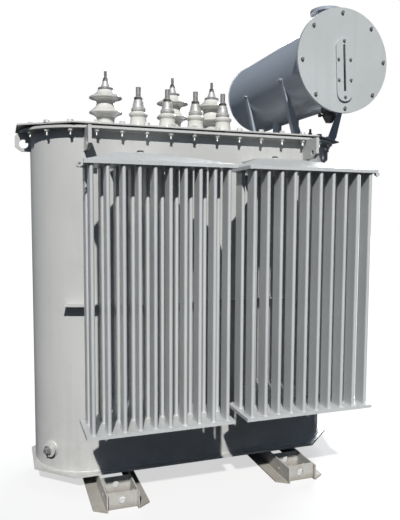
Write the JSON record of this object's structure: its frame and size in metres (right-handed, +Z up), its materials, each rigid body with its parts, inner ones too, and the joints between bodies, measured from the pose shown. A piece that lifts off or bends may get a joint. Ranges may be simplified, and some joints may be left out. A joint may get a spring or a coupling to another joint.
{
  "type": "power transformer",
  "caption": "Oil-filled power transformer with tube radiators on both long sides, porcelain bushings on the lid and a round oil conservator over one end.",
  "frame": {"origin": "the middle of the whole machine in X and Y, at ground level under the skids", "axes": "+Z up; -Y is the low-voltage side that the picture shows; +X runs along the tank towards the conservator"},
  "size_m": [1.6395, 1.46, 2.166],
  "materials": {
    "aluminium_cap": "dull cast aluminium",
    "conservator_paint": "semi-gloss blue-grey paint",
    "cover_paint": "satin pale grey paint",
    "gauge_glass": "dark oil behind glass",
    "porcelain": "glossy cream-white glaze",
    "radiator_paint": "satin light grey paint",
    "seal": "matt black",
    "skid_paint": "light grey paint, a little soiled",
    "tank_paint": "satin light grey paint",
    "zinc_steel": "dull zinc and bare steel"
  },
  "bodies": {
    "root": {"tank_wall": "tank_paint", "base_plate": "tank_paint", "tank_flange": "tank_paint", "lid": "tank_paint", "front_wall_band": "tank_paint", "back_wall_band": "tank_paint", "left_end_lifting_lug": "tank_paint", "right_end_lifting_lug": "tank_paint", "front_lifting_lugs": "tank_paint", "back_lifting_lugs": "tank_paint", "tank_drain_boss": "tank_paint", "conservator_feet": "tank_paint", "connecting_pipe": "tank_paint", "lid_gasket": "seal", "front_left_radiator_top_header": "radiator_paint", "front_left_radiator_bottom_header": "radiator_paint", "front_left_radiator_tubes": "radiator_paint", "front_right_radiator_top_header": "radiator_paint", "front_right_radiator_bottom_header": "radiator_paint", "front_right_radiator_tubes": "radiator_paint", "back_left_radiator_top_header": "radiator_paint", "back_left_radiator_bottom_header": "radiator_paint", "back_left_radiator_tubes": "radiator_paint", "back_right_radiator_top_header": "radiator_paint", "back_right_radiator_bottom_header": "radiator_paint", "back_right_radiator_tubes": "radiator_paint", "radiator_sling_eyes": "radiator_paint", "left_skid_rails": "skid_paint", "left_skid_cross_plates": "skid_paint", "right_skid_rails": "skid_paint", "right_skid_cross_plates": "skid_paint", "hv_porcelains": "porcelain", "lv_porcelains": "porcelain", "hv_terminals": "zinc_steel", "lv_terminals": "aluminium_cap", "conservator_shell": "conservator_paint", "conservator_rear_end": "conservator_paint", "conservator_filler": "conservator_paint", "conservator_left_legs": "conservator_paint", "conservator_right_legs": "conservator_paint", "conservator_cover": "cover_paint", "oil_gauge_frame": "cover_paint", "oil_gauge_glass": "gauge_glass", "drain_sump": "zinc_steel", "tank_drain_plug": "zinc_steel"}
  },
  "joints": []
}
